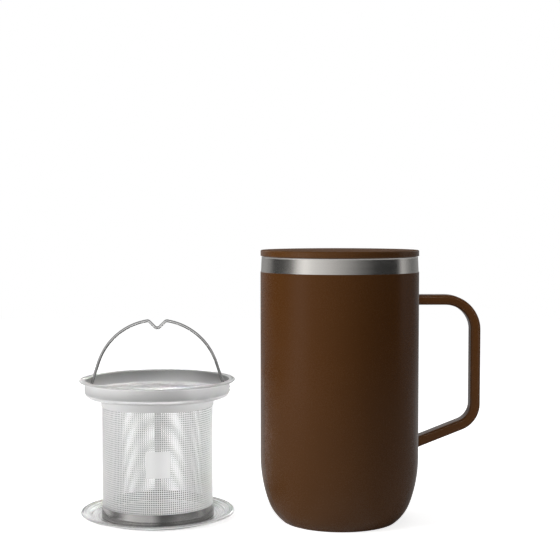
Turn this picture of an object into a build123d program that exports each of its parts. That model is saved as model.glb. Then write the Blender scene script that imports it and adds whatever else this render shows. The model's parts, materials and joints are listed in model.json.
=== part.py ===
from build123d import *

import os
from math import acos, asin, cos, degrees, radians, sin, sqrt, tan

# Lidded, double-walled tea mug with a hanging infuser and its drip dish.
# Millimetres. The origin is the centre of the mug's foot, +Z is up and +X points at the handle.
# The infuser stands on its dish beside the mug.

# --- mug body ---
body_diameter = 83.0  # over the powder coat
lip_diameter = 81.8  # over the bare steel lip
lip_height = 138.5
band_height = 7.8  # bare steel left under the lip
coat_thickness = 0.25
shell_wall = 0.5
side_start_height = 33.4  # where the straight side ends
side_radius = 68.5  # gentle curve under the straight side
side_turn = 19.9  # degrees turned by the gentle curve
foot_curve_radius = 23.0  # tighter curve that runs to the foot

# --- liner ---
mouth_diameter = 77.2
liner_wall = 0.5
liner_rim_ease = 0.6
liner_floor_height = 7.0

# --- foot ---
vacuum_bottom_wall = 0.5
vacuum_bottom_height = 3.0
dimple_diameter = 9.0
dimple_rise = 1.2
pump_hole_diameter = 1.2
bead_diameter = 5.0
bead_height = 0.9
getter_diameter = 12.0
getter_height = 1.6
getter_inset = 7.1  # from the closing disc's edge to the getter's
cap_wall = 0.4
cap_recess = 0.6  # up from the table
cap_edge_height = 1.3
cap_clearance = 0.1

# --- handle ---
handle_width = 10.5
handle_thickness = 5.2
handle_edge_ease = 1.3
handle_top_height = 116.0
handle_reach = 71.0  # centreline of the grip at its top
handle_lean = 0.1  # how far the grip leans in at its bottom
handle_foot_height = 41.5  # centreline of the lower leg at the wall
lower_leg_slope = 21.8  # degrees above level, going out
upper_bend_radius = 15.7
lower_bend_radius = 12.0

# --- lid ---
lid_diameter = 82.9
lid_thickness = 3.5
lid_edge_relief = 0.4  # shadow gap over the lip's edge
lid_land_width = 1.5  # ring of the lid that lies on the lip
lid_top_ease = 0.5
plug_diameter = 74.4
plug_depth = 3.2
plug_wall = 3.4
plug_web = 1.2
groove_depth = 1.6
groove_inset = 0.7  # from each face of the plug
seal_fit = 0.05  # seal to groove, and seal to mouth
seal_fin_thickness = 0.5  # at its root
seal_stand_out = 0.25  # body of the seal past the plug

# --- dish ---
dish_x = -96.5
dish_y = 7.0
dish_diameter = 81.4
dish_wall = 0.6
dish_floor_diameter = 69.2
dish_slope_diameter = 73.0
dish_rim_height = 3.0
dish_step_diameter = 76.2
dish_step = 0.3
dish_edge_thickness = 1.2
dish_edge_width = 1.6
edge_roll = 0.35  # corners of a rolled edge, as a share of its thickness

# --- infuser ---
infuser_height = 72.8
flange_diameter = 82.6
collar_diameter = 76.8
collar_wall = 0.5
collar_height = 9.4
collar_corner_ease = 1.2
neck_height = 4.6
flange_edge_thickness = 1.0
flange_edge_width = 1.5

basket_diameter = 58.6
basket_sheet = 0.35
lap_clearance = 0.05  # basket to neck and to ring, on the radius
neck_lap = 3.0
hole_columns = 20
hole_rows = 5
hole_width = 3.4
hole_height = 4.2
hole_margin = 3.0  # plain sheet above and below the holes
plate_width = 12.3
plate_height = 14.2
plate_centre_height = 31.8  # above the foot of the ring
plate_turn = 6.0  # degrees that the plate and its holes are turned from the front towards the mug

ring_wall = 0.4
ring_height = 6.2
ring_lip = 2.6

bottom_sheet = 0.5
bottom_hole_width = 4.2
bottom_hole_pitch = 8.6

# --- bail ---
wire_diameter = 1.6
wire_side_count = 8  # flats of the wire as modelled
bail_radius = 33.0
bail_centre_drop = 1.8  # centre of the bow below the flange
bail_arm_splay = 18.0  # degrees that each arm leans out
pivot_drop = 4.4  # pivot axis below the flange
pivot_bend_radius = 1.1
pivot_pin_length = 0.7  # past the eye
notch_bottom = 27.0  # centreline above the flange
notch_slope = 45.0  # degrees above level
notch_radius = 1.8
hump_radius = 1.8
pivot_fit = 0.05  # wire to eye, on the radius

lug_sheet = 0.5
lug_width = 4.0
lug_height = 3.0
lug_stand_off = 0.9  # gap between the web and the collar wall
tab_width = 1.6
tab_spacing = 2.4

# --- worked out ---
body_radius = body_diameter / 2
steel_radius = body_radius - coat_thickness
mouth_radius = mouth_diameter / 2
liner_inset = body_radius - mouth_radius
band_bottom = lip_height - band_height
shell_top = lip_height - liner_wall

side_centre = (body_radius - side_radius, side_start_height)
foot_centre = (
    side_centre[0] + (side_radius - foot_curve_radius) * cos(radians(side_turn)),
    side_centre[1] - (side_radius - foot_curve_radius) * sin(radians(side_turn)),
)

dish_floor_top = dish_wall
ring_bottom = dish_floor_top
flange_top = ring_bottom + infuser_height
shoulder_bottom = flange_top - collar_height
neck_bottom = shoulder_bottom - neck_height
collar_outer = collar_diameter / 2
collar_inner = collar_outer - collar_wall
basket_radius = basket_diameter / 2
neck_inner = basket_radius + lap_clearance
ring_inner = basket_radius + lap_clearance
ring_outer = ring_inner + ring_wall
basket_foot = ring_bottom + ring_wall + bottom_sheet
pivot_height = flange_top - pivot_drop
wire_radius = wire_diameter / 2
beside_mug = Location((dish_x, dish_y, 0))
ON_END = (Align.CENTER, Align.CENTER, Align.MIN)


def write(node, shape):
    export_step(shape, os.path.join("parts", node + ".step"))
    print(node, "solids", len(shape.solids()), "volume", round(shape.volume, 1))


def turned(profile):
    """A profile drawn as radius and height, turned about Z."""
    return revolve(Plane.XZ * profile, axis=Axis.Z)


def closed(*edges):
    """The face inside a closed run of edges."""
    return make_face(Wire(edges))


def sheet(line, thickness):
    """A turned sheet that lies on the left of its profile line."""
    return turned(make_face(line.offset_2d(thickness, kind=Kind.INTERSECTION, side=Side.LEFT)))


def arc_end_angle(centre, radius, height):
    """Angle in degrees at which an arc about a centre reaches a height, from below."""
    return degrees(asin((height - centre[1]) / radius))


def side_curve(inset, low):
    """The mug's two tangent lower curves, a distance inside its surface, down to a height."""
    gentle = CenterArc(side_centre, side_radius - inset, 0, -side_turn)
    foot_end = arc_end_angle(foot_centre, foot_curve_radius - inset, low)
    tight = CenterArc(foot_centre, foot_curve_radius - inset, -side_turn, foot_end + side_turn)
    return gentle, tight


def side_end_radius(inset, low):
    """Radius of the mug's lower curve at a height, a distance inside its surface."""
    rise = low - foot_centre[1]
    return foot_centre[0] + sqrt((foot_curve_radius - inset) ** 2 - rise**2)


def curved_wall(outer_inset, inner_inset, outer_head, inner_head):
    """A turned wall between two insets from the mug's surface, under two lists of points from the top."""
    outer_gentle, outer_tight = side_curve(outer_inset, 0)
    inner_gentle, inner_tight = side_curve(inner_inset, 0)
    outer_side = Polyline(*outer_head, (body_radius - outer_inset, side_start_height))
    inner_side = Polyline(*inner_head, (body_radius - inner_inset, side_start_height))
    top = Line(outer_head[0], inner_head[0])
    foot = Line(outer_tight @ 1, inner_tight @ 1)
    outer_edges = [*outer_side.edges(), outer_gentle, outer_tight]
    inner_edges = [*inner_side.edges(), inner_gentle, inner_tight]
    return turned(closed(top, *outer_edges, foot, *inner_edges))


def outer_shell():
    """Outer steel wall, drawn in a little at the lip."""
    lip_radius = lip_diameter / 2
    outer_head = [(lip_radius, shell_top), (steel_radius, band_bottom)]
    inner_head = [(lip_radius - shell_wall, shell_top), (steel_radius - shell_wall, band_bottom)]
    return curved_wall(coat_thickness, coat_thickness + shell_wall, outer_head, inner_head)


def powder_coat(handle_bar):
    """Coat over the steel, from the bare band down to the foot, broken where the handle is welded on."""
    coat = curved_wall(0, coat_thickness, [(body_radius, band_bottom)], [(steel_radius, band_bottom)])
    return coat - handle_bar


def inner_liner():
    """Drawn inner cup. Its rim lies on the shell's top edge and makes the lip."""
    gentle, tight = side_curve(liner_inset, liner_floor_height)
    rim = Polyline(
        (lip_diameter / 2, lip_height),
        (mouth_radius + liner_rim_ease, lip_height),
        (mouth_radius, lip_height - liner_rim_ease),
        (mouth_radius, side_start_height),
    )
    floor = Line(tight @ 1, (0, liner_floor_height))
    return sheet(Wire([*rim.edges(), gentle, tight, floor]), liner_wall)


def closing_radius():
    """Radius of the closing disc, which fills the shell's foot."""
    return side_end_radius(coat_thickness + shell_wall, 0)


def vacuum_bottom():
    """Closing disc welded in the foot, with a dimple for the pump-out hole."""
    seat_radius = closing_radius()
    line = Polyline(
        (seat_radius, 0),
        (seat_radius, vacuum_bottom_height),
        (dimple_diameter / 2, vacuum_bottom_height),
        (dimple_diameter / 2, vacuum_bottom_height + dimple_rise),
        (0, vacuum_bottom_height + dimple_rise),
    )
    disc = sheet(line, vacuum_bottom_wall)
    hole = Cylinder(pump_hole_diameter / 2, 3 * vacuum_bottom_height)
    return disc - hole


def seal_bead():
    """Glass bead fused over the pump-out hole, a low button that hangs from the dimple."""
    half = bead_diameter / 2
    top = vacuum_bottom_height + dimple_rise - vacuum_bottom_wall
    bottom = top - bead_height
    button = Polyline((0, top), (half, top), (half - bead_height, bottom), (0, bottom), close=True)
    return turned(make_face(button))


def getter():
    """Getter disc, tacked on the closing disc inside the vacuum."""
    radius = getter_diameter / 2
    disc = Cylinder(radius, getter_height, align=ON_END)
    return Pos(0, closing_radius() - getter_inset - radius, vacuum_bottom_height) * disc


def base_cap():
    """Stamped cap pressed in the foot."""
    radius = closing_radius() - vacuum_bottom_wall - cap_clearance
    line = Polyline((0, cap_recess), (radius, cap_recess), (radius, cap_recess + cap_edge_height))
    return sheet(line, cap_wall)


def handle_path():
    """Centreline of the bent bar, from inside the wall at the top to inside the wall at the bottom."""
    start = mouth_radius
    slope = tan(radians(lower_leg_slope))
    grip_bottom = handle_reach - handle_lean
    return FilletPolyline(
        (start, handle_top_height),
        (handle_reach, handle_top_height),
        (grip_bottom, handle_foot_height + slope * (grip_bottom - body_radius)),
        (start, handle_foot_height + slope * (start - body_radius)),
        radius=[upper_bend_radius, lower_bend_radius],
    )


def handle():
    """One flat bar with eased edges, bent to a D and cut to the shell at both ends."""
    path = Plane.XZ * handle_path()
    section = chamfer(Rectangle(handle_width, handle_thickness).vertices(), handle_edge_ease)
    start = Plane(origin=path @ 0, z_dir=path % 0, x_dir=(0, 1, 0))
    return sweep(start * section, path=path) - Cylinder(steel_radius, 3 * lip_height)


def lid_cover():
    """Flat disc with an eased top edge. Its land lies on the lip, and outside that it is relieved."""
    edge = lid_diameter / 2
    top = lip_height + lid_thickness
    land = mouth_radius + lid_land_width
    under = lip_height + lid_edge_relief
    outline = Polyline(
        (0, lip_height),
        (land, lip_height),
        (land, under),
        (edge, under),
        (edge, top - lid_top_ease),
        (edge - lid_top_ease, top),
        (0, top),
        close=True,
    )
    return turned(make_face(outline))


def plug_groove():
    """Depth line, lower face and upper face of the groove round the plug."""
    floor = plug_diameter / 2 - groove_depth
    low = lip_height - plug_depth + groove_inset
    high = lip_height - groove_inset
    return floor, low, high


def lid_plug():
    """Shallow moulded plug under the disc, hollow below, with a groove for the seal."""
    edge = plug_diameter / 2
    floor, low, high = plug_groove()
    bottom = lip_height - plug_depth
    hollow = edge - plug_wall
    return turned(
        make_face(
            Polyline(
                (0, lip_height),
                (edge, lip_height),
                (edge, high),
                (floor, high),
                (floor, low),
                (edge, low),
                (edge, bottom),
                (hollow, bottom),
                (hollow, lip_height - plug_web),
                (0, lip_height - plug_web),
                close=True,
            )
        )
    )


def lid_seal():
    """Silicone ring with one wiping fin that runs in the mouth."""
    floor, low, high = plug_groove()
    low += seal_fit
    high -= seal_fit
    body = plug_diameter / 2 + seal_stand_out
    tip = mouth_radius - seal_fit
    root = high - seal_fin_thickness
    outline = Polyline((floor, low), (body, low), (body, root), (tip, high), (floor, high), close=True)
    return turned(make_face(outline))


def rolled_edge(outer, top, width, thickness):
    """The thick edge of a sheet whose rim is turned under, eased at its two outer corners."""
    ease = edge_roll * thickness
    bottom = top - thickness
    outline = Polyline(
        (outer - width, top),
        (outer - ease, top),
        (outer, top - ease),
        (outer, bottom + ease),
        (outer - ease, bottom),
        (outer - width, bottom),
        close=True,
    )
    return turned(make_face(outline))


def drip_dish():
    """Stamped dish: flat floor, sloped wall, stepped rim and a rolled edge."""
    rim = dish_rim_height
    outer = dish_diameter / 2
    line = Polyline(
        (0, 0),
        (dish_floor_diameter / 2, 0),
        (dish_slope_diameter / 2, rim - dish_wall),
        (dish_step_diameter / 2, rim - dish_wall),
        (dish_step_diameter / 2 + dish_step, rim - dish_wall + dish_step),
        (outer - dish_edge_width / 2, rim - dish_wall + dish_step),
    )
    edge = rolled_edge(outer, rim + dish_step, dish_edge_width, dish_edge_thickness)
    return beside_mug * (sheet(line, dish_wall) + edge)


def infuser_collar():
    """One drawn piece: rolled flange, collar wall, shoulder and neck, slit for the lugs' tabs."""
    flange_start = flange_diameter / 2 - flange_edge_width / 2
    shoulder_top = shoulder_bottom + collar_wall
    line = Polyline(
        (flange_start, flange_top),
        (collar_inner, flange_top),
        (collar_inner, shoulder_top + collar_corner_ease),
        (collar_inner - collar_corner_ease, shoulder_top),
        (neck_inner, shoulder_top),
        (neck_inner, neck_bottom),
    )
    edge = rolled_edge(flange_diameter / 2, flange_top, flange_edge_width, flange_edge_thickness)
    return beside_mug * (sheet(line, collar_wall) + edge - tabs(1) - tabs(-1))


def tabs(side):
    """Two tabs, one above the other, that pass through the collar wall."""
    inner = collar_inner - lug_stand_off
    length = collar_outer - inner
    both = Part()
    for place in (-1, 1):
        centre = Pos(side * (inner + length / 2), 0, pivot_height + place * tab_spacing / 2)
        both += centre * Box(length, tab_width, lug_sheet)
    return both


def bail_lug(side):
    """Folded strip with an eye for the bail, held by its two tabs."""
    web_outer = collar_inner - lug_stand_off
    sheet_middle = Pos(side * (web_outer - lug_sheet / 2), 0, pivot_height)
    web = sheet_middle * Box(lug_sheet, lug_width, lug_height)
    eye = sheet_middle * Rot(0, 90, 0) * Cylinder(wire_radius + pivot_fit, 2 * lug_sheet)
    reach = tabs(side) & Cylinder(collar_outer - lap_clearance, 3 * lip_height)
    return beside_mug * (web - eye + reach)


def bottom_ring():
    """Pressed ring that closes the basket's foot. Its lip holds the perforated disc."""
    line = Polyline(
        (ring_outer - ring_lip, ring_bottom),
        (ring_outer, ring_bottom),
        (ring_outer, ring_bottom + ring_height),
    )
    return beside_mug * sheet(line, ring_wall)


def clear_of_plate(turn, height):
    """Whether a hole at a turn from the plate's middle and a height misses the plate."""
    sideways = abs(basket_radius * sin(radians(turn)))
    behind = cos(radians(turn)) < 0
    up = abs(height - ring_bottom - plate_centre_height)
    return behind or sideways > plate_width / 2 or up > plate_height / 2


def basket_wall():
    """Rolled sheet with columns of holes, and one plate left bare at its front."""
    ring_top = ring_bottom + ring_height
    head = neck_bottom + neck_lap
    blank = Cylinder(basket_radius, head - basket_foot, align=ON_END)
    core = Cylinder(basket_radius - basket_sheet, head - basket_foot, align=ON_END)
    wall = Pos(0, 0, basket_foot) * (blank - core)
    hole = Box(4 * basket_sheet, hole_width, hole_height)
    lowest = ring_top + hole_margin
    pitch = (neck_bottom - hole_margin - lowest) / (hole_rows - 1)
    heights = [lowest + row * pitch for row in range(hole_rows)]
    turns = [(column + 0.5) * 360 / hole_columns for column in range(hole_columns)]
    spots = [(turn, height) for turn in turns for height in heights if clear_of_plate(turn, height)]
    holes = [Rot(0, 0, turn) * Pos(basket_radius, 0, height) * hole for turn, height in spots]
    facing = Rot(0, 0, plate_turn - 90)
    return beside_mug * facing * (wall - holes)


def basket_bottom():
    """Flat perforated disc that lies on the ring's lip."""
    disc = Cylinder(basket_radius, bottom_sheet, align=ON_END)
    hole = Box(bottom_hole_width, bottom_hole_width, 3 * bottom_sheet)
    holed_radius = ring_outer - ring_lip - bottom_hole_width
    count = int(2 * holed_radius / bottom_hole_pitch) + 1
    spots = GridLocations(bottom_hole_pitch, bottom_hole_pitch, count, count)
    inside = [spot for spot in spots if spot.position.length < holed_radius]
    return beside_mug * Pos(0, 0, basket_foot - bottom_sheet) * (disc - [spot * hole for spot in inside])


def hump_angle(notch_centre_height):
    """Degrees from the top of the bow at which a hump's arc leaves it, so that all runs are tangent."""
    slope = radians(notch_slope)
    rise = cos(slope) * (notch_centre_height + bail_centre_drop) - notch_radius - hump_radius
    return degrees(acos(rise / (bail_radius - hump_radius))) - notch_slope


def bail_half():
    """Half of the bail's centreline: notch, hump, bow, straight arm, bend and pivot pin."""
    notch_centre = notch_bottom + notch_radius
    leave = hump_angle(notch_centre)
    hump_centre_radius = bail_radius - hump_radius
    hump_x = hump_centre_radius * sin(radians(leave))
    hump_z = hump_centre_radius * cos(radians(leave)) - bail_centre_drop
    notch = CenterArc((0, notch_centre), notch_radius, -90, notch_slope)
    hump = CenterArc((hump_x, hump_z), hump_radius, 90 + notch_slope, 90 - leave - 90 - notch_slope)
    bow = CenterArc((0, -bail_centre_drop), bail_radius, 90 - leave, bail_arm_splay - 90 + leave)
    flank = Line(notch @ 1, hump @ 0)
    drop = (bow @ 1).Y + pivot_drop
    foot_x = (bow @ 1).X + drop * tan(radians(bail_arm_splay))
    pin_end = collar_inner - lug_stand_off + pivot_pin_length
    arm = FilletPolyline(bow @ 1, (foot_x, -pivot_drop), (pin_end, -pivot_drop), radius=pivot_bend_radius)
    return [notch, flank, hump, bow, *arm.edges()]


def bail():
    """Wire handle in one piece, whose ends turn out into the lugs' eyes."""
    half = bail_half()
    other = [edge.mirror(Plane.YZ) for edge in half]
    path = Plane.XZ * Wire([*half, *other])
    start = Plane(origin=path @ 0, z_dir=path % 0)
    wire = sweep(start * RegularPolygon(wire_radius, wire_side_count), path=path)
    return beside_mug * Pos(0, 0, flange_top) * wire


def main():
    os.makedirs("parts", exist_ok=True)
    handle_bar = handle()
    write("outer_shell", outer_shell())
    write("powder_coat", powder_coat(handle_bar))
    write("inner_liner", inner_liner())
    write("vacuum_bottom", vacuum_bottom())
    write("seal_bead", seal_bead())
    write("getter", getter())
    write("base_cap", base_cap())
    write("handle", handle_bar)
    write("lid_cover", lid_cover())
    write("lid_plug", lid_plug())
    write("lid_seal", lid_seal())
    write("drip_dish", drip_dish())
    write("infuser_collar", infuser_collar())
    write("bail_lug_left", bail_lug(-1))
    write("bail_lug_right", bail_lug(1))
    write("bottom_ring", bottom_ring())
    write("basket_wall", basket_wall())
    write("basket_bottom", basket_bottom())
    write("bail", bail())


main()
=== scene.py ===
import json
from math import acos, asin, atan2, cos, degrees, hypot, pi, radians, sin, sqrt, tan, tau

import bmesh
import bpy
from mathutils import Matrix, Vector

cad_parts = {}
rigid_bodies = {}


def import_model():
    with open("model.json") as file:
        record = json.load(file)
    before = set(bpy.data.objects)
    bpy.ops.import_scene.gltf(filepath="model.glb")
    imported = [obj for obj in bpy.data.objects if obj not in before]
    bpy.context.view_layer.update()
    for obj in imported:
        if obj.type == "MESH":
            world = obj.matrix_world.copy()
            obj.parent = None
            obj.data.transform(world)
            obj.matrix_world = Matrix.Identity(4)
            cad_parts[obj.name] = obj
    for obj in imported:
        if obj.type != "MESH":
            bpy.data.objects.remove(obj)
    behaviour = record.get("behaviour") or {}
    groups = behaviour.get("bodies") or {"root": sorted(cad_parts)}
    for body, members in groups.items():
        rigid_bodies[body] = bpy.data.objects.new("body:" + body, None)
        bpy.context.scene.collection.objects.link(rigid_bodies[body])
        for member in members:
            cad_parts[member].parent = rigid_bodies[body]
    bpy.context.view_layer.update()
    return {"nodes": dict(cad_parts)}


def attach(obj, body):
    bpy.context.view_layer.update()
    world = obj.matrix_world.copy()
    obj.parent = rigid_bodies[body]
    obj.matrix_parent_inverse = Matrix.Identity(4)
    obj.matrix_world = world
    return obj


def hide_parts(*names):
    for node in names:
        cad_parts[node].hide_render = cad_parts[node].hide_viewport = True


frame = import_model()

# Sizes are in millimetres here and become metres when a piece is finished.
MM = 0.001
ROUND = 160  # steps of a full turn
rim_ease = 0.1  # on the cut rims of every sheet
edge_overlap = 0.9  # how far a sheet runs in under the top of its rolled edge
AXIS = Vector((0, 0, 1))
AT_MUG = Vector((0, 0, 0))
AT_DISH = Vector((-96.5, 7.0, 0))

# --- mug ---
body_radius = 41.5
coat_thickness = 0.25
shell_wall = 0.5
lip_radius = 40.9
shell_top = 138.0
lip_height = 138.5
band_bottom = 130.7
mouth_radius = 38.6
liner_wall = 0.5
liner_rim_ease = 0.6
coat_edge_ease = 0.15
liner_floor = 7.0
side_start = 33.4
side_radius = 68.5
side_turn = 19.9
foot_curve_radius = 23.0
side_centre = (body_radius - side_radius, side_start)
foot_centre = (
    side_centre[0] + (side_radius - foot_curve_radius) * cos(radians(side_turn)),
    side_centre[1] - (side_radius - foot_curve_radius) * sin(radians(side_turn)),
)

# --- handle ---
handle_width = 10.5
handle_thickness = 5.2
handle_top_height = 116.0
handle_reach = 71.0
handle_lean = 0.1
handle_foot_height = 41.5
lower_leg_slope = 21.8
upper_bend_radius = 15.7
lower_bend_radius = 12.0
handle_edge_ease = 1.75
handle_top_end = 40.9  # both ends stop in the shell's wall
handle_foot_end = 40.2

# --- lid ---
lid_radius = 41.45
lid_thickness = 3.5
lid_edge_relief = 0.4
lid_land_radius = 40.1
lid_top_ease = 0.6
lid_lower_ease = 0.28

# --- dish ---
dish_radius = 40.7
dish_wall = 0.6
dish_floor_radius = 34.6
dish_slope_radius = 36.5
dish_rim = 3.0
dish_step_radius = 38.1
dish_step = 0.3
dish_floor_ease = 0.9
dish_edge_thickness = 1.2
dish_edge_width = 1.6

# --- infuser ---
ring_bottom = 0.6
flange_top = 73.4
flange_radius = 41.3
flange_edge_thickness = 1.0
flange_edge_width = 1.5
collar_inner = 37.9
collar_wall = 0.5
collar_floor = 64.5
collar_fillet = 2.8  # inside, where the wall meets the ledge
collar_corner_ease = 0.7
neck_bottom = 59.4
basket_radius = 29.3
basket_sheet = 0.35
neck_inner = 29.35
ring_outer = 29.75
ring_wall = 0.4
ring_height = 6.2
ring_lip = 2.6
BEADS = (1.85, 3.1)  # heights of the ring's two soft beads
bead_rise = 0.14
bead_reach = 0.3  # half its height
weld_radius = 0.55
weld_flatness = 0.35
WELDS = (67.3, 69.2)
plate_width = 12.3
plate_height = 14.2
plate_centre = 32.4
plate_turn = 6.0  # degrees from the front towards the mug
seam_width = 3.0
holes_round = 164
hole_pitch = 1.12
hole_width = 0.74
hole_corner = 0.29  # of its width, cut off each corner
hole_rows = 47
holes_top = 59.4
basket_foot = 1.5
basket_head = 62.5
disc_height = 1.05
disc_sheet = 0.4
disc_holes_radius = 26.6
disc_edge = 27.2  # the disc's plain border has a painted highlight from here out

# --- bail ---
wire_radius = 0.8
bow_radius = 33.0
bow_drop = 1.8
arm_splay = 18.0
pivot_drop = 4.4
pivot_bend = 1.1
pin_end = 37.7
notch_bottom = 27.0
notch_slope = 45.0
notch_radius = 1.8
hump_radius = 1.8


# ---------- modelling ----------

class Line:
    """A drawn line in radius and height, made by extruding and spinning its last point."""

    def __init__(self, radius, height):
        self.bm = bmesh.new()
        self.end = self.bm.verts.new((radius, 0, height))
        self.left = None

    def to(self, radius, height):
        if self.left is None:
            run = Vector((radius, 0, height)) - self.end.co
            self.left = Vector((-run.z, 0, run.x))
            self.middle = self.end.co + run / 2
        made = bmesh.ops.extrude_vert_indiv(self.bm, verts=[self.end])
        self.end = made["verts"][0]
        self.end.co = (radius, 0, height)
        return self

    def around(self, centre, turn, steps):
        """An arc about a centre, anticlockwise where turn is above 0."""
        made = bmesh.ops.spin(
            self.bm, geom=[self.end], cent=(centre[0], 0, centre[1]), axis=(0, -1, 0), dvec=(0, 0, 0),
            angle=radians(turn), steps=steps, use_merge=False, use_normal_flip=False, use_duplicate=False)
        self.end = made["geom_last"][0]
        return self

    def close(self):
        self.bm.verts.ensure_lookup_table()
        self.bm.edges.new((self.end, self.bm.verts[0]))
        return self

    def ease(self, *corners):
        """Rounds corners, each given as radius, height and how far back the rounding starts."""
        for radius, height, size in corners:
            place = Vector((radius, 0, height))
            vert = min(self.bm.verts, key=lambda v: (v.co - place).length)
            bmesh.ops.bevel(
                self.bm, geom=[vert], offset=size, offset_type="OFFSET", segments=6, profile=0.5,
                affect="VERTICES", material=-1)
        return self


def turned(line):
    """A line turned about Z, with its seam and poles closed, whose faces look to the line's left."""
    bm = line.bm
    bmesh.ops.spin(
        bm, geom=bm.verts[:] + bm.edges[:], cent=(0, 0, 0), axis=AXIS, dvec=(0, 0, 0), angle=tau,
        steps=ROUND, use_merge=True, use_normal_flip=False, use_duplicate=False)
    bmesh.ops.remove_doubles(bm, verts=bm.verts, dist=0.001)
    bmesh.ops.recalc_face_normals(bm, faces=bm.faces)
    nearest = min(bm.faces, key=lambda face: (face.calc_center_median() - line.middle).length)
    if nearest.normal.dot(line.left) < 0:
        bmesh.ops.reverse_faces(bm, faces=bm.faces)
    return bm


def thickened(bm, thickness):
    """Gives an open sheet its thickness on the side that it faces, with rounded rims."""
    mesh = bpy.data.meshes.new("sheet")
    bm.to_mesh(mesh)
    bm.free()
    holder = bpy.data.objects.new("sheet", mesh)
    bpy.context.collection.objects.link(holder)
    wall = holder.modifiers.new("wall", "SOLIDIFY")
    wall.thickness = thickness
    wall.offset = 1
    wall.use_even_offset = True
    ease = holder.modifiers.new("rims", "BEVEL")
    ease.width = rim_ease
    ease.segments = 2
    ease.limit_method = "ANGLE"
    ease.angle_limit = radians(60)
    thick = bmesh.new()
    thick.from_object(holder, bpy.context.evaluated_depsgraph_get())
    bpy.data.objects.remove(holder)
    bpy.data.meshes.remove(mesh)
    return thick


def finished(name, bm, place, sharp=32.0, outward=True):
    """An object at the origin whose mesh holds the piece in metres, at its place.

    Edges that turn by more than a number of degrees stay sharp.
    """
    if outward:
        bmesh.ops.recalc_face_normals(bm, faces=bm.faces)
    bmesh.ops.translate(bm, verts=bm.verts, vec=place)
    bmesh.ops.scale(bm, verts=bm.verts, vec=(MM, MM, MM))
    bm.normal_update()
    for face in bm.faces:
        face.smooth = True
    for edge in bm.edges:
        edge.smooth = len(edge.link_faces) == 2 and edge.calc_face_angle() < radians(sharp)
    mesh = bpy.data.meshes.new(name)
    bm.to_mesh(mesh)
    bm.free()
    piece = bpy.data.objects.new(name, mesh)
    bpy.context.collection.objects.link(piece)
    return piece


def dressed(piece, body, slot, finish, *nodes):
    """Puts a piece on its body, with its material and the CAD nodes that it stands for; its slot is not
    used.
    """
    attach(piece, body)
    if nodes:
        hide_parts(*nodes)
    piece.data.materials.append(finish)


# ---------- finishes ----------

class Signal:
    """A shader socket that takes part in sums."""

    def __init__(self, nodes, socket):
        self.nodes = nodes
        self.socket = socket

    def output(self, name):
        """Another output of the same node."""
        return Signal(self.nodes, self.socket.node.outputs[name])

    def maths(self, operation, *terms, clamp=False):
        return self.nodes.node("Math", dict(enumerate(terms)), operation=operation, use_clamp=clamp)

    def __add__(self, other):
        return self.maths("ADD", self, other)

    __radd__ = __add__

    def __sub__(self, other):
        return self.maths("SUBTRACT", self, other)

    def __rsub__(self, other):
        return self.maths("SUBTRACT", other, self)

    def __mul__(self, other):
        return self.maths("MULTIPLY", self, other)

    __rmul__ = __mul__

    def __truediv__(self, other):
        return self.maths("DIVIDE", self, other)

    def __rtruediv__(self, other):
        return self.maths("DIVIDE", other, self)

    def over(self, level, width):
        """0 below a level and 1 above it, over a soft width."""
        return self.maths("MULTIPLY_ADD", self, 1 / width, 0.5 - level / width, clamp=True)

    def most(self, other):
        """The larger of two."""
        return self.maths("MAXIMUM", self, other)


class Nodes:
    """A node tree that is written with signals."""

    def __init__(self, tree):
        self.tree = tree

    def node(self, kind, inputs=None, output=0, stops=None, **settings):
        """A node of a type, with its settings first and then what its sockets take."""
        made = self.tree.nodes.new("ShaderNode" + kind)
        for setting, value in settings.items():
            setattr(made, setting, value)
        if stops:
            elements = made.color_ramp.elements
            while len(elements) < len(stops):
                elements.new(1.0)
            for element, (position, level) in zip(elements, stops):
                element.position = position
                element.color = (level, level, level, 1)
        for socket, value in (inputs or {}).items():
            if isinstance(value, Signal):
                self.tree.links.new(value.socket, made.inputs[socket])
            else:
                made.inputs[socket].default_value = value
        return Signal(self, made.outputs[output])

    def blend(self, factor, first, second):
        """Mixes two colours, each a signal or three numbers."""
        first, second = (tone if isinstance(tone, Signal) else (*tone, 1) for tone in (first, second))
        return self.node("Mix", {"Factor": factor, 6: first, 7: second}, output=2, data_type="RGBA")


class Finish(Nodes):
    """A material in the making: a Principled shader and the nodes that feed it."""

    def __init__(self, name, colour, roughness, metallic=0.0, **constants):
        self.material = bpy.data.materials.new(name)
        self.material.use_nodes = True
        super().__init__(self.material.node_tree)
        self.shader = self.tree.nodes["Principled BSDF"]
        self.set("Base Color", (*colour, 1))
        self.set("Roughness", roughness)
        self.set("Metallic", metallic)
        for socket, value in constants.items():
            self.set(socket.replace("_", " "), value)
        self.object = self.node("TexCoord", output="Object")

    def set(self, socket, value):
        target = self.shader.inputs[socket]
        if isinstance(value, Signal):
            self.tree.links.new(value.socket, target)
        else:
            target.default_value = value

    def stretched(self, scale):
        return self.node("Mapping", {"Vector": self.object, "Scale": scale})

    def noise(self, scale, detail=2.0, vector=None):
        return self.node("TexNoise", {"Vector": vector or self.object, "Scale": scale, "Detail": detail})

    def turned_lines(self):
        """Fine lines that run round Z."""
        return self.noise(1.0, 3.0, self.stretched((40, 40, 9000)))

    def height(self):
        """Height above the table in millimetres."""
        return self.node("SeparateXYZ", {0: self.object}, output="Z") / MM

    def across(self):
        """How far towards the mug from the infuser's axis, in millimetres."""
        return self.node("SeparateXYZ", {0: self.object}, output="X") / MM - AT_DISH.x

    def radius(self):
        """Distance from the infuser's axis in millimetres."""
        flat = self.node("Mapping", {"Vector": self.object, "Location": -AT_DISH * MM, "Scale": (1, 1, 0)})
        return self.node("VectorMath", {0: flat}, output="Value", operation="LENGTH") / MM

    def bump(self, height, distance, strength):
        inputs = {"Height": height, "Distance": distance, "Strength": strength}
        self.set("Normal", self.node("Bump", inputs))


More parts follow.
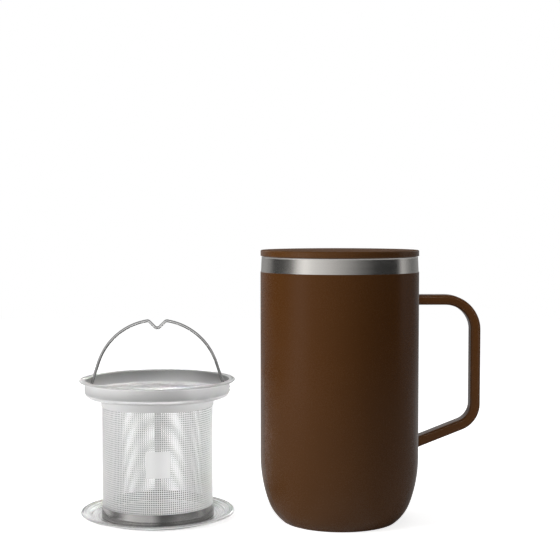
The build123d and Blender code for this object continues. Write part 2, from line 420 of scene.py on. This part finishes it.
def steel(level):
    """The colour of plain steel at a level of brightness."""
    return (level, level, level - 0.005)


def scaled(colour, share):
    """A darker or lighter colour."""
    return tuple(part * share for part in colour)


def brushed(name, colour, roughness, grain, **constants):
    """Steel with fine lines that run round Z, at a strength, in patches of duller and brighter metal."""
    finish = Finish(name, colour, roughness, metallic=1.0, **constants)
    lines = finish.turned_lines()
    fine = finish.noise(1.0, 2.0, finish.stretched((90, 90, 26000)))
    patches = finish.noise(38.0, 2.0)
    finish.set("Base Color", finish.blend(lines * 0.6 + patches * 0.4, scaled(colour, 0.86), colour))
    finish.set("Roughness", roughness - 0.07 + lines * 0.08 + patches * 0.06)
    finish.bump(lines * 0.6 + fine * 0.4, 0.00001 * grain, 0.5)
    return finish.material


def spun_collar(name, bright, light, shaded, roughness):
    """Satin collar steel, with painted highlights on its ledge, its neck, its lower shoulder and its
    outside below the flange, and painted shade on its neck, just under its shoulder and on top of its
    flange's rolled edge.

    Its wall has painted shade, so it is lighter above on the outside and below on the inside.
    """
    finish = Finish(name, light, roughness, metallic=1.0, Anisotropic=0.3)
    lines = finish.turned_lines()
    patches = finish.noise(38.0, 2.0)
    height = finish.height()
    inside = 1 - finish.radius().over(collar_inner + collar_wall / 2, 0.2)
    # painted shade on the wall: darker towards the top inside and towards the bottom outside
    climb = height.over(flange_top - 3.7, 6.0)
    shade = climb * inside + (1 - climb) * (1 - inside) * 0.8
    # painted highlights: outside below the flange and on its rolled edge, on the neck and lower shoulder,
    # and on the ledge inside
    flange = height.over(flange_top - 1.6, 1.0) * (1 - inside)
    low = 1 - height.over(collar_floor + 1.6, 1.6)
    ledge = (1 - height.over(collar_floor + 2.4, 0.6)) * inside
    # painted shadow on the neck, just under the shoulder
    corner = (height.over(collar_floor - 1.7, 0.6) - height.over(collar_floor - 0.5, 0.3)) * 0.5
    # the painted highlights, less the fine grain and the painted shadow under the shoulder
    painted_highlight_mask = flange.most(low).most(ledge) - lines * 0.04 - patches * 0.04 - corner
    metal = finish.blend(painted_highlight_mask, finish.blend(shade, light, shaded), bright)
    # painted shade on the neck and on the top of the flange's rolled edge
    neck = 1 - height.over(collar_floor - 0.2, 0.2)
    edge = height.over(flange_top - 0.9, 0.5) * (1 - inside)
    finish.set("Base Color", finish.blend(neck * 0.3 + edge * 0.6, metal, shaded))
    finish.set("Roughness", roughness - 0.07 + lines * 0.08 + patches * 0.06)
    finish.bump(lines, 0.000004, 0.5)
    return finish.material


def perforated_sheet(name, outside, inside, foot, edge, roughness):
    """Perforated steel, bright beyond an edge radius from the infuser's axis and darker inside it, which is
    painted shade.

    Its inside is darker still at the foot, a painted shadow behind the ring.
    """
    finish = Finish(name, outside, roughness, metallic=1.0)
    outer = finish.radius().over(edge, 0.15)
    wear = finish.noise(60.0, 3.0)
    above_ring = finish.height().over(ring_bottom + ring_height + 0.3, 0.6)
    # painted shade inside the edge radius, darker still as a painted shadow at the foot behind the ring
    dull = finish.blend(above_ring, foot, inside)
    finish.set("Base Color", finish.blend(outer * (0.94 + wear * 0.12), dull, outside))
    finish.set("Roughness", roughness + 0.06 - outer * 0.08 + wear * 0.05)
    finish.bump(finish.noise(1.0, 2.0, finish.stretched((300, 300, 9000))), 0.000002, 0.5)
    return finish.material


def ring_with_painted_shade(name, plain, tinted, roughness):
    """Bright pressed steel with painted shade on the side that faces the mug's front."""
    finish = Finish(name, plain, roughness, metallic=1.0, Anisotropic=0.4)
    lines = finish.turned_lines()
    across = finish.across()
    ring_shade_mask = across.over(2.0, 5.0) - across.over(10.0, 6.0) * 0.45  # painted shade, strongest from 5 to 7 mm
    # tinted is the colour of the painted shade
    finish.set("Base Color", finish.blend(ring_shade_mask - lines * 0.1, plain, tinted))
    finish.set("Roughness", roughness - 0.05 + lines * 0.1)
    finish.bump(lines, 0.000004, 0.5)
    return finish.material


def spun_dish(name, flat, painted_side_shade, rim, line, roughness):
    """Satin dish steel, spun in circles, with a painted highlight on its rim, a painted shade line at its
    step and painted shade on both sides.
    """
    finish = Finish(name, flat, roughness, metallic=1.0)
    radius = finish.radius()
    across = finish.across()
    circles = finish.noise(2.5, 3.0, radius)
    # painted shade, growing towards the mug's side
    face = finish.blend(across.over(5.0, 40.0), flat, painted_side_shade)
    # painted highlight on the rolled rim
    tone = finish.blend(radius.over(dish_radius - 0.8, 0.5), face, rim)
    # painted shade on the far side
    far_side = 1 - across.over(-27.0, 8.0)
    tone = finish.blend(far_side * 0.8, tone, painted_side_shade)
    # painted shade line at the step
    step = (radius.over(dish_step_radius - 0.3, 0.2) - radius.over(dish_step_radius + 0.6, 0.2)) * 0.8
    finish.set("Base Color", finish.blend(step + circles * 0.15, tone, line))
    finish.set("Roughness", roughness - 0.04 + circles * 0.08)
    finish.bump(circles, 0.000002, 0.5)
    return finish.material


def coated(name, colour, foot, roughness):
    """Powder coat: a satin skin with a fine orange-peel grain, faint clouds and a greyer foot, which is a
    painted reflection of the floor.
    """
    finish = Finish(name, colour, roughness, Specular_IOR_Level=0.12)
    peel = finish.noise(2200.0, 2.0)
    dust = finish.noise(5200.0, 1.0)
    clouds = finish.noise(26.0, 3.0)
    shade = clouds * 0.7 + dust * 0.3
    low, high = (finish.blend(shade, scaled(tone, 0.9), scaled(tone, 1.1)) for tone in (foot, colour))
    # greyer towards the foot, a painted reflection of the floor
    finish.set("Base Color", finish.blend(finish.height().over(45, 90), low, high))
    finish.set("Roughness", roughness - 0.05 + peel * 0.06 + clouds * 0.04)
    finish.bump(peel * 0.7 + dust * 0.3, 0.00002, 0.3)
    return finish.material


def moulded(name, colour, roughness):
    """Satin moulding with a spark-eroded grain, which is coarser on top."""
    finish = Finish(name, colour, roughness, Specular_IOR_Level=0.20)
    grain = finish.noise(3000.0, 2.0)
    clouds = finish.noise(40.0, 2.0)
    finish.set("Base Color", finish.blend(clouds, colour, scaled(colour, 1.06)))
    facing = finish.node("SeparateXYZ", {0: finish.node("TexCoord", output="Normal")}, output="Z")
    finish.set("Roughness", roughness - 0.04 + grain * 0.08 + facing.over(0.7, 0.2) * 0.45)
    finish.bump(grain, 0.00002, 0.4)
    return finish.material


def drawn_wire(name, plain, painted_top_highlight, roughness):
    """Drawn steel wire, with a painted highlight that makes the top of the bail brighter."""
    finish = Finish(name, plain, roughness, metallic=1.0)
    streaks = finish.noise(500.0, 3.0)
    # painted highlight over the top of the bow
    top = finish.height().over(97, 14)
    finish.set("Base Color", finish.blend(top * (0.9 + streaks * 0.2), plain, painted_top_highlight))
    finish.set("Roughness", roughness - 0.03 + streaks * 0.06)
    finish.bump(streaks, 0.000003, 0.5)
    return finish.material


def mottled(name, light, dark, roughness, size, metallic=0.0, height=0.00004):
    """Dull material with small light and dark specks."""
    finish = Finish(name, light, roughness, metallic=metallic)
    specks = finish.noise(size, 4.0)
    finish.set("Base Color", finish.blend(specks, dark, light))
    finish.set("Roughness", roughness - 0.06 + specks * 0.12)
    finish.bump(specks, height, 0.6)
    return finish.material


lip_steel = brushed("brushed lip steel", (0.70, 0.675, 0.64), 0.18, 1.0, Anisotropic=0.5)
inner_steel = brushed("plain inner steel", (0.66, 0.65, 0.63), 0.34, 0.6, Anisotropic=0.3)
infuser_steel = brushed("satin infuser steel", steel(0.68), 0.30, 0.4, Anisotropic=0.3)
# the first colour is the painted highlight, the third the painted shade
collar_steel = spun_collar("spun collar steel", steel(0.91), steel(0.82), steel(0.40), 0.30)
# the inside and foot tones are painted shade and painted shadow; the disc's bright border is a painted
# highlight
mesh_steel = perforated_sheet(
    "perforated steel", steel(0.93), steel(0.46), steel(0.2), basket_radius - basket_sheet / 2, 0.34)
disc_steel = perforated_sheet(
    "perforated disc steel", steel(0.93), steel(0.34), steel(0.34), disc_edge, 0.34)
# the second colour is the painted shade on the side towards the mug
ring_steel = ring_with_painted_shade("bright ring steel", (0.46, 0.45, 0.44), (0.13, 0.128, 0.125), 0.2)
# the second colour is the painted side shade, the third the painted rim highlight, the fourth the painted
# step line
dish_steel = spun_dish("spun dish steel", steel(0.74), steel(0.46), steel(0.86), steel(0.32), 0.27)
# the second colour is the painted highlight at the top
wire_steel = drawn_wire("drawn wire steel", (0.46, 0.455, 0.45), (0.90, 0.895, 0.89), 0.17)
# the second colour, at the foot, is a painted reflection of the floor
brown_coat = coated("brown powder coat", (0.074, 0.0268, 0.0056), (0.075, 0.0320, 0.0108), 0.27)
lid_brown = moulded("brown lid plastic", (0.088, 0.034, 0.0075), 0.27)
weld_steel = mottled("heat-tinted weld", (0.20, 0.19, 0.18), (0.10, 0.095, 0.09), 0.4, 900.0, 1.0, 0.00001)
silicone = mottled("translucent silicone", (0.23, 0.20, 0.17), (0.17, 0.14, 0.12), 0.55, 700.0)
fused_glass = mottled("fused glass bead", (0.34, 0.31, 0.26), (0.24, 0.22, 0.19), 0.22, 500.0)
getter_metal = mottled("sintered getter", (0.24, 0.24, 0.24), (0.12, 0.12, 0.12), 0.7, 1600.0, 0.7)


# ---------- mug ----------

def below_side(line, inset, low, steps):
    """Carries a line that stands at the end of the straight side down the mug's two lower curves."""
    line.around(side_centre, -side_turn, steps)
    end = degrees(asin((low - foot_centre[1]) / (foot_curve_radius - inset)))
    return line.around(foot_centre, end + side_turn, steps)


def up_the_inside(line, inset, steps):
    """Takes a line from the table's level up the two lower curves again, on the inside of a wall."""
    curve = foot_curve_radius - inset
    line.to(foot_centre[0] + sqrt(curve**2 - foot_centre[1] ** 2), 0)
    start = degrees(asin(-foot_centre[1] / curve))
    return line.around(foot_centre, -side_turn - start, steps).around(side_centre, side_turn, steps)


def powder_coat():
    line = Line(body_radius - coat_thickness, band_bottom).to(body_radius, band_bottom)
    below_side(line.to(body_radius, side_start), 0, 0, 16)
    up_the_inside(line, coat_thickness, 16).close()
    line.ease((body_radius, band_bottom, coat_edge_ease))
    return finished("coat_on_body", turned(line), AT_MUG)


def steel_shell():
    inset = coat_thickness + shell_wall
    line = Line(lip_radius - shell_wall, shell_top).to(lip_radius, shell_top)
    line.to(body_radius - coat_thickness, band_bottom).to(body_radius - coat_thickness, side_start)
    below_side(line, coat_thickness, 0, 12)
    up_the_inside(line, inset, 12).to(body_radius - inset, band_bottom).close()
    return finished("steel_shell", turned(line), AT_MUG, sharp=20)


def cup_liner():
    line = Line(lip_radius, lip_height).to(mouth_radius, lip_height).to(mouth_radius, side_start)
    below_side(line, body_radius - mouth_radius, liner_floor, 16).to(0, liner_floor)
    line.ease((mouth_radius, lip_height, liner_rim_ease))
    return finished("cup_liner", thickened(turned(line), liner_wall), AT_MUG)


def lid_disc():
    top = lip_height + lid_thickness
    under = lip_height + lid_edge_relief
    line = Line(0, lip_height).to(lid_land_radius, lip_height).to(lid_land_radius, under)
    line.to(lid_radius, under).to(lid_radius, top).to(0, top)
    line.ease((lid_radius, top, lid_top_ease), (lid_radius, under, lid_lower_ease))
    return finished("lid_disc", turned(line), AT_MUG)


# ---------- bent bars and wires ----------

class Bend:
    """A bar or wire bent in the XZ plane: its front end is pushed on or spun round a bend."""

    def __init__(self, section, start, heading):
        self.bm = section
        turn = Matrix.Rotation(radians(-heading), 4, "Y") @ Matrix.Rotation(radians(90), 4, "Y")
        bmesh.ops.transform(self.bm, matrix=Matrix.Translation(start) @ turn, verts=self.bm.verts)
        self.place = Vector(start)
        self.heading = heading
        self.front = self.bm.faces[:]

    def direction(self):
        return Vector((cos(radians(self.heading)), 0, sin(radians(self.heading))))

    def run(self, length):
        made = bmesh.ops.extrude_face_region(self.bm, geom=self.front)["geom"]
        self.front = [part for part in made if isinstance(part, bmesh.types.BMFace)]
        verts = [part for part in made if isinstance(part, bmesh.types.BMVert)]
        bmesh.ops.translate(self.bm, verts=verts, vec=self.direction() * length)
        self.place += self.direction() * length
        return self

    def turn(self, angle, radius, steps):
        """Bends to the left where angle is above 0, seen with +X to the right and +Z up."""
        side = 1 if angle > 0 else -1
        heading = radians(self.heading + 90 * side)
        centre = self.place + Vector((cos(heading), 0, sin(heading))) * radius
        made = bmesh.ops.spin(
            self.bm, geom=self.front, cent=centre, axis=(0, -1, 0), dvec=(0, 0, 0), angle=radians(angle),
            steps=steps, use_merge=False, use_normal_flip=False, use_duplicate=False)["geom_last"]
        self.front = [part for part in made if isinstance(part, bmesh.types.BMFace)]
        spin = Matrix.Rotation(radians(-angle), 3, "Y")
        self.place = centre + spin @ (self.place - centre)
        self.heading += angle
        return self


def round_section(radius, sides):
    bm = bmesh.new()
    bmesh.ops.create_circle(bm, cap_ends=True, radius=radius, segments=sides)
    return bm


def bar_section(width, thickness, ease):
    bm = bmesh.new()
    bmesh.ops.create_grid(bm, x_segments=1, y_segments=1, size=0.5)
    bmesh.ops.scale(bm, verts=bm.verts, vec=(thickness, width, 1))
    bmesh.ops.bevel(
        bm, geom=bm.verts[:], offset=ease, offset_type="OFFSET", segments=6, profile=0.5, affect="VERTICES",
        material=-1)
    return bm


def corner_run(before, corner, after, radius):
    """Turn at a corner in degrees, and the length that its bend takes from each run."""
    first = atan2(corner[1] - before[1], corner[0] - before[0])
    second = atan2(after[1] - corner[1], after[0] - corner[0])
    turn = (second - first + pi) % tau - pi
    return degrees(turn), radius * tan(abs(turn) / 2)


def handle_bar():
    slope = tan(radians(lower_leg_slope))
    grip_bottom = handle_reach - handle_lean
    points = [(handle_top_end, handle_top_height), (handle_reach, handle_top_height)]
    points += [(x, handle_foot_height + slope * (x - body_radius)) for x in (grip_bottom, handle_foot_end)]
    top_turn, top_cut = corner_run(*points[:3], upper_bend_radius)
    low_turn, low_cut = corner_run(*points[1:], lower_bend_radius)
    runs = [hypot(b[0] - a[0], b[1] - a[1]) for a, b in zip(points, points[1:])]
    section = bar_section(handle_width, handle_thickness, handle_edge_ease)
    bar = Bend(section, (handle_top_end, 0, handle_top_height), 0)
    bar.run(runs[0] - top_cut).turn(top_turn, upper_bend_radius, 20).run(runs[1] - top_cut - low_cut)
    bar.turn(low_turn, lower_bend_radius, 16).run(runs[2] - low_cut)
    return finished("handle_bar", bar.bm, AT_MUG)


def bail_wire():
    notch_centre = notch_bottom + notch_radius
    slope = radians(notch_slope)
    rise = cos(slope) * (notch_centre + bow_drop) - notch_radius - hump_radius
    leave = degrees(acos(rise / (bow_radius - hump_radius))) - notch_slope
    hump_x = (bow_radius - hump_radius) * sin(radians(leave))
    hump_z = (bow_radius - hump_radius) * cos(radians(leave)) - bow_drop
    flank = sqrt(hump_x**2 + (hump_z - notch_centre) ** 2 - (notch_radius + hump_radius) ** 2)
    bow_end_x = bow_radius * cos(radians(arm_splay))
    bow_end_z = bow_radius * sin(radians(arm_splay)) - bow_drop
    drop = bow_end_z + pivot_drop
    corner_x = bow_end_x + drop * tan(radians(arm_splay))
    arm = drop / cos(radians(arm_splay))
    foot_turn_angle = 90 - arm_splay
    cut = pivot_bend * tan(radians(foot_turn_angle) / 2)
    bow = 90 - leave - arm_splay
    wire = Bend(round_section(wire_radius, 20), (-pin_end, 0, flange_top - pivot_drop), 0)
    wire.run(pin_end - corner_x - cut).turn(foot_turn_angle, pivot_bend, 10)
    wire.run(arm - cut).turn(-bow, bow_radius, 40).turn(-notch_slope - leave, hump_radius, 12).run(flank)
    wire.turn(2 * notch_slope, notch_radius, 16).run(flank).turn(-notch_slope - leave, hump_radius, 12)
    wire.turn(-bow, bow_radius, 40).run(arm - cut).turn(foot_turn_angle, pivot_bend, 10)
    wire.run(pin_end - corner_x - cut)
    return finished("bail_wire", wire.bm, AT_DISH)


# ---------- infuser ----------

def rolled_edge(bm, outer, top, width, thickness):
    """Adds the thick rounded edge of a sheet whose rim is turned under."""
    half = thickness / 2
    line = Line(outer - width, top).to(outer - half, top).around((outer - half, top - half), -180, 10)
    line.to(outer - width, top - thickness).close()
    edge = turned(line)
    bmesh.ops.recalc_face_normals(edge, faces=edge.faces)
    mesh = bpy.data.meshes.new("edge")
    edge.to_mesh(mesh)
    edge.free()
    bm.from_mesh(mesh)
    bpy.data.meshes.remove(mesh)


def infuser_collar():
    line = Line(flange_radius - edge_overlap, flange_top).to(collar_inner, flange_top)
    line.to(collar_inner, collar_floor).to(neck_inner, collar_floor).to(neck_inner, neck_bottom)
    line.ease(
        (collar_inner, flange_top, collar_corner_ease), (collar_inner, collar_floor, collar_fillet),
        (neck_inner, collar_floor, collar_corner_ease))
    bm = thickened(turned(line), collar_wall)
    rolled_edge(bm, flange_radius, flange_top, flange_edge_width, flange_edge_thickness)
    return finished("infuser_collar_steel", bm, AT_DISH)


def weld_marks():
    """Two spot welds, one above the other, where each lug of the bail is fixed inside the collar."""
    marks = bmesh.new()
    for side in (-1, 1):
        for height in WELDS:
            made = bmesh.ops.create_uvsphere(marks, u_segments=16, v_segments=8, radius=weld_radius)
            spot = made["verts"]
            bmesh.ops.scale(marks, verts=spot, vec=(weld_flatness, 1, 1))
            bmesh.ops.translate(marks, verts=spot, vec=(side * (collar_inner + collar_wall), 0, height))
    return finished("weld_marks", marks, AT_DISH)


def bottom_ring():
    crest = ring_outer + bead_rise
    line = Line(ring_outer - ring_lip, ring_bottom).to(ring_outer, ring_bottom)
    for bead in BEADS:
        line.to(ring_outer, bead - bead_reach).to(crest, bead).to(ring_outer, bead + bead_reach)
    line.to(ring_outer, ring_bottom + ring_height)
    line.ease((ring_outer, ring_bottom, 0.6), *((crest, bead, 0.15) for bead in BEADS))
    return finished("bottom_ring_steel", thickened(turned(line), ring_wall), AT_DISH, sharp=50)


def drip_dish():
    flat = dish_rim - dish_wall
    line = Line(0, 0).to(dish_floor_radius, 0).to(dish_slope_radius, flat).to(dish_step_radius, flat)
    line.to(dish_step_radius + dish_step, flat + dish_step).to(dish_radius - edge_overlap, flat + dish_step)
    line.ease(
        (dish_floor_radius, 0, dish_floor_ease), (dish_slope_radius, flat, 0.6),
        (dish_step_radius, flat, 0.15), (dish_step_radius + dish_step, flat + dish_step, 0.15))
    bm = thickened(turned(line), dish_wall)
    rolled_edge(bm, dish_radius, dish_rim + dish_step, dish_edge_width, dish_edge_thickness)
    return finished("drip_dish_steel", bm, AT_DISH)


def perforated(bm, cells, web):
    """Cuts an eight-sided hole in each of some square cells of a flat sheet, with a web left round it."""
    bmesh.ops.inset_individual(bm, faces=cells, thickness=web / 2, use_even_offset=True)
    corners = list({vert for face in cells for vert in face.verts})
    bmesh.ops.bevel(
        bm, geom=corners, offset=hole_width * hole_corner, offset_type="OFFSET", segments=1, profile=0.5,
        affect="VERTICES", material=-1)
    middles = [face for face in bm.faces if len(face.verts) == 8]
    bmesh.ops.delete(bm, geom=middles, context="FACES_ONLY")
    return bm


def basket_quarter(name, middle_turn):
    """A quarter of the basket, so far round from the plate: perforated sheet, plain at its head and foot.

    The back quarter has a plain strip, where the rolled sheet's ends are welded together.
    """
    columns = holes_round // 4
    arc = radians(90) * basket_radius
    bm = bmesh.new()
    bmesh.ops.create_grid(bm, x_segments=columns, y_segments=hole_rows, size=0.5)
    bmesh.ops.scale(bm, verts=bm.verts, vec=(arc, hole_rows * hole_pitch, 1))
    bmesh.ops.translate(bm, verts=bm.verts, vec=(0, holes_top - hole_rows * hole_pitch / 2, 0))
    cells = bm.faces[:]
    for level, target in ((min, basket_foot), (max, basket_head)):
        height = level(vert.co.y for vert in bm.verts)
        rim = [edge for edge in bm.edges if all(abs(vert.co.y - height) < 0.001 for vert in edge.verts)]
        made = bmesh.ops.extrude_edge_only(bm, edges=rim)["geom"]
        strip = [part for part in made if isinstance(part, bmesh.types.BMVert)]
        bmesh.ops.translate(bm, verts=strip, vec=(0, target - height, 0))
    if middle_turn == 0:
        cells = [face for face in cells if not on_plate(face.calc_center_median())]
    if middle_turn == 180:
        cells = [face for face in cells if abs(face.calc_center_median().x) > seam_width / 2]
    perforated(bm, cells, hole_pitch - hole_width)
    for vert in bm.verts:
        turn = radians(middle_turn + plate_turn - 90) + vert.co.x / basket_radius
        vert.co = (basket_radius * cos(turn), basket_radius * sin(turn), vert.co.y)
    bmesh.ops.recalc_face_normals(bm, faces=bm.faces)
    bmesh.ops.solidify(bm, geom=bm.faces[:], thickness=basket_sheet)
    return finished(name, bm, AT_DISH, sharp=50)


def on_plate(centre):
    """Whether a cell of the front quarter lies on the plate that is left bare."""
    return abs(centre.x) < plate_width / 2 and abs(centre.y - plate_centre) < plate_height / 2


def basket_bottom():
    """Perforated disc: a grid of cells with holes, and a plain border out to the basket's wall."""
    count = int(2 * disc_holes_radius / hole_pitch)
    bm = bmesh.new()
    bmesh.ops.create_grid(bm, x_segments=count, y_segments=count, size=count * hole_pitch / 2)
    outside = [face for face in bm.faces if face.calc_center_median().length > disc_holes_radius]
    bmesh.ops.delete(bm, geom=outside, context="FACES")
    cells = bm.faces[:]
    steps = [edge for edge in bm.edges if edge.is_boundary]
    rim = bmesh.ops.create_circle(bm, cap_ends=False, radius=basket_radius - basket_sheet, segments=ROUND)
    border = steps + list({edge for vert in rim["verts"] for edge in vert.link_edges})
    bmesh.ops.triangle_fill(bm, use_beauty=True, use_dissolve=False, edges=border)
    perforated(bm, cells, hole_pitch - hole_width)
    bmesh.ops.recalc_face_normals(bm, faces=bm.faces)
    bmesh.ops.solidify(bm, geom=bm.faces[:], thickness=disc_sheet)
    low = min(vert.co.z for vert in bm.verts)
    bmesh.ops.translate(bm, verts=bm.verts, vec=(0, 0, disc_height - low))
    return finished("basket_bottom_steel", bm, AT_DISH)


# ---------- pieces on their bodies ----------

dressed(powder_coat(), "mug", "powder_coat", brown_coat, "powder_coat")
dressed(steel_shell(), "mug", "brushed_steel", lip_steel, "outer_shell")
dressed(cup_liner(), "mug", "brushed_steel", lip_steel, "inner_liner")
dressed(handle_bar(), "mug", "powder_coat", brown_coat, "handle")
dressed(lid_disc(), "lid", "lid_plastic", lid_brown, "lid_cover")
dressed(infuser_collar(), "infuser", "satin_steel", collar_steel, "infuser_collar")
dressed(weld_marks(), "infuser", "satin_steel", weld_steel)
dressed(bottom_ring(), "infuser", "satin_steel", ring_steel, "bottom_ring")
dressed(drip_dish(), "dish", "satin_steel", dish_steel, "drip_dish")
for name, turn in (("front", 0), ("right", 90), ("back", 180), ("left", 270)):
    quarter = basket_quarter("basket_" + name, turn)
    dressed(quarter, "infuser", "perforated_steel", mesh_steel, "basket_wall")
dressed(basket_bottom(), "infuser", "perforated_steel", disc_steel, "basket_bottom")
dressed(bail_wire(), "bail_wire", "bright_wire", wire_steel, "bail")

kept = {
    "vacuum_bottom": inner_steel, "seal_bead": fused_glass, "getter": getter_metal,
    "base_cap": inner_steel, "lid_plug": lid_brown, "lid_seal": silicone,
    "bail_lug_left": infuser_steel, "bail_lug_right": infuser_steel,
}
for node, material in kept.items():
    mesh = frame["nodes"][node].data
    mesh.materials.clear()
    mesh.materials.append(material)

# ---------- studio ----------

# Brightness of the room in reflections by its bearing, in degrees to the right of the camera's side.
ROOM = [
    (-180, 0.32), (-140, 0.40), (-124, 0.28), (-112, 0.06), (-92, 0.08), (-76, 0.20), (-66, 0.80),
    (-54, 1.20), (-42, 0.90), (-20, 0.68), (0, 0.45), (27, 0.16), (50, 0.02), (92, 0.02), (98, 0.70),
    (112, 0.32), (126, 0.18), (160, 0.34), (180, 0.32),
]
# Brightness overhead in reflections, by the sine of the height.
CEILING = [(0.0, 0.9), (0.32, 0.9), (0.5, 0.35), (0.75, 0.2), (1.0, 0.2)]
AMBIENT = 0.14  # brightness of the room to dull surfaces
# Brightness of the walls of light round the infuser, by their bearing.
TENT = [(75, 0.28), (130, 0.55), (180, 0.80), (230, 0.38), (275, 0.16)]
WHITE = (1, 1, 1, 1)
floor_reach = 1300  # from its middle to its edges
floor_drop = 0.02  # keeps it just clear of the mug's foot
# Places and distances in the studio are in metres.
WALL_DISTANCE = 0.55
BESIDE_MUG = -0.05  # the infuser's pieces have their middles to the left of this
INFUSER_MIDDLE = AT_DISH * MM + Vector((0, 0, 0.05))
HANDLE_MIDDLE = Vector((0.06, 0, 0.08))
MUG_MIDDLE = Vector((0, 0, 0.05))


def studio_floor():
    """Pale paper, which the camera sees white and which keeps the shadows."""
    bm = bmesh.new()
    bmesh.ops.create_grid(bm, x_segments=1, y_segments=1, size=floor_reach)
    floor = finished("floor", bm, Vector((0, 0, -floor_drop)), outward=False)
    paper = Finish("pale paper", (0.86, 0.86, 0.86), 0.9, Specular_IOR_Level=0.0)
    path = paper.node("LightPath", output="Is Camera Ray")
    plain = Signal(paper, paper.shader.outputs[0])
    lit = paper.node("AddShader", {0: plain, 1: paper.node("Emission", {"Color": WHITE, "Strength": 0.8})})
    mixed = paper.node("MixShader", {0: path, 1: plain, 2: lit})
    paper.tree.links.new(mixed.socket, paper.tree.nodes["Material Output"].inputs["Surface"])
    floor.data.materials.append(paper.material)


def panel(name, place, aim, width, height, watts):
    """A soft box that faces a point."""
    lamp = bpy.data.lights.new(name, "AREA")
    lamp.shape = "RECTANGLE"
    lamp.size = width
    lamp.size_y = height
    lamp.energy = watts
    box = bpy.data.objects.new(name, lamp)
    bpy.context.collection.objects.link(box)
    box.location = place
    box.rotation_euler = (Vector(aim) - Vector(place)).to_track_quat("-Z", "Y").to_euler()
    box.visible_camera = False
    box.visible_glossy = False
    return box


def glow(name, bearing, lift, width, height, radiance, pieces, middle=INFUSER_MIDDLE):
    """A wall of light at a bearing and a lift, in degrees, from a middle, for those pieces alone."""
    turn, rise = radians(bearing - 90), radians(lift)
    way = Vector((cos(turn) * cos(rise), sin(turn) * cos(rise), sin(rise)))
    place = middle + way * WALL_DISTANCE
    wall = panel(name, place, middle, width, height, radiance * pi * width * height)
    wall.visible_glossy = True
    wall.data.cycles.use_multiple_importance_sampling = False
    wall.light_linking.receiver_collection = pieces
    wall.light_linking.blocker_collection = pieces


def surroundings():
    """White for the camera, dim for dull surfaces, and in reflections a round room lit unevenly."""
    world = bpy.data.worlds.new("studio")
    bpy.context.scene.world = world
    world.use_nodes = True
    world.node_tree.nodes.clear()
    room = Nodes(world.node_tree)
    split = room.node("SeparateXYZ", {0: room.node("TexCoord", output="Generated")})
    across, away, up = split, split.output("Y"), split.output("Z")
    turn = across.maths("ARCTAN2", across, 0 - away) / tau + 0.5  # from 0 to 1 round the room
    wall = room.node("ValToRGB", {0: turn}, stops=[(at / 360 + 0.5, level) for at, level in ROOM])
    ceiling = room.node("ValToRGB", {0: up}, stops=CEILING)
    seen = room.blend(up.over(0.17, 0.16), wall, ceiling)
    path = room.node("LightPath", output="Is Camera Ray")
    dim = room.node("Background", {"Color": WHITE, "Strength": AMBIENT})
    shiny = room.node("Background", {"Color": seen, "Strength": 1.0})
    white = room.node("Background", {"Color": WHITE, "Strength": 1.0})
    plain = path.most(path.output("Is Transmission Ray"))
    lit = room.node("MixShader", {0: path.output("Is Glossy Ray"), 1: dim, 2: shiny})
    surface = room.node("MixShader", {0: plain, 1: lit, 2: white})
    sky = room.tree.nodes.new("ShaderNodeOutputWorld")
    room.tree.links.new(surface.socket, sky.inputs["Surface"])


def studio_camera():
    lens = bpy.data.cameras.new("camera")
    lens.sensor_width = 36
    lens.lens = 78.75
    lens.clip_start = 0.01
    lens.clip_end = 20
    camera = bpy.data.objects.new("camera", lens)
    bpy.context.collection.objects.link(camera)
    camera.location = (-0.03125, -0.642, 0.1576)
    camera.rotation_euler = (radians(90 - 2.8), 0, 0)
    bpy.context.scene.camera = camera


def share_out(steel_set, basket_set, plain_set, collar_set, handle_set, coat_set):
    """Puts each visible piece in the sets whose walls of light it takes.

    The mug's pieces stay out of reflections, and the bail takes no wall of light.
    """
    for piece in list(bpy.data.objects):
        if piece.type != "MESH" or piece.hide_render or piece.name == "floor":
            continue
        middle = sum((Vector(corner) for corner in piece.bound_box), Vector()) / 8
        sets = []
        if middle.x > BESIDE_MUG:
            piece.visible_glossy = False
            if piece.name == "handle_bar":
                sets = [handle_set, coat_set]
            elif piece.name == "coat_on_body":
                sets = [coat_set]
        elif piece.name != "bail_wire":
            sets = [steel_set, basket_set if piece.name.startswith("basket") else plain_set]
            if piece.name == "infuser_collar_steel":
                sets.append(collar_set)
        for pieces in sets:
            pieces.objects.link(piece)


studio_floor()
surroundings()
studio_camera()
steel_set = bpy.data.collections.new("infuser and dish")
basket_set = bpy.data.collections.new("basket")
plain_set = bpy.data.collections.new("collar, ring and dish")
collar_set = bpy.data.collections.new("collar")
handle_set = bpy.data.collections.new("handle")
coat_set = bpy.data.collections.new("coated")
share_out(steel_set, basket_set, plain_set, collar_set, handle_set, coat_set)
# Walls of light: name, bearing, lift, width, height, brightness and the pieces that they light.
for bearing, radiance in TENT:
    glow(f"tent_{bearing}", bearing, 0, 0.62, 0.7, radiance, steel_set)
glow("tent_above", 0, 89, 1.0, 1.0, 0.8, plain_set)
glow("collar_above", 0, 89, 1.0, 1.0, 0.2, collar_set)
glow("tent_below", 0, -89, 1.0, 1.0, 0.4, steel_set)
glow("basket_left", -25, 0, 0.5, 0.7, 0.20, basket_set)
glow("basket_right", 40, 0, 0.62, 0.7, 0.33, basket_set)
glow("basket_far_right", 100, 0, 0.62, 0.7, 0.14, basket_set)
glow("handle_above", 4, 50, 0.5, 0.05, 14, handle_set, HANDLE_MIDDLE)
glow("handle_side", 42, 4, 0.08, 0.5, 4, handle_set, HANDLE_MIDDLE)
glow("coat_below", 0, -70, 0.8, 0.8, 0.3, coat_set, MUG_MIDDLE)
panel("key", (-1.08, -0.52, 0.45), (0, 0, 0.07), 0.6, 0.9, 13.6)
panel("fill", (0.9, -0.6, 0.5), (0, 0, 0.07), 0.5, 0.9, 0.6)
panel("top", (-0.05, 0.1, 1.1), (-0.05, 0, 0), 0.9, 0.9, 4)

bpy.context.scene.view_settings.view_transform = "Standard"
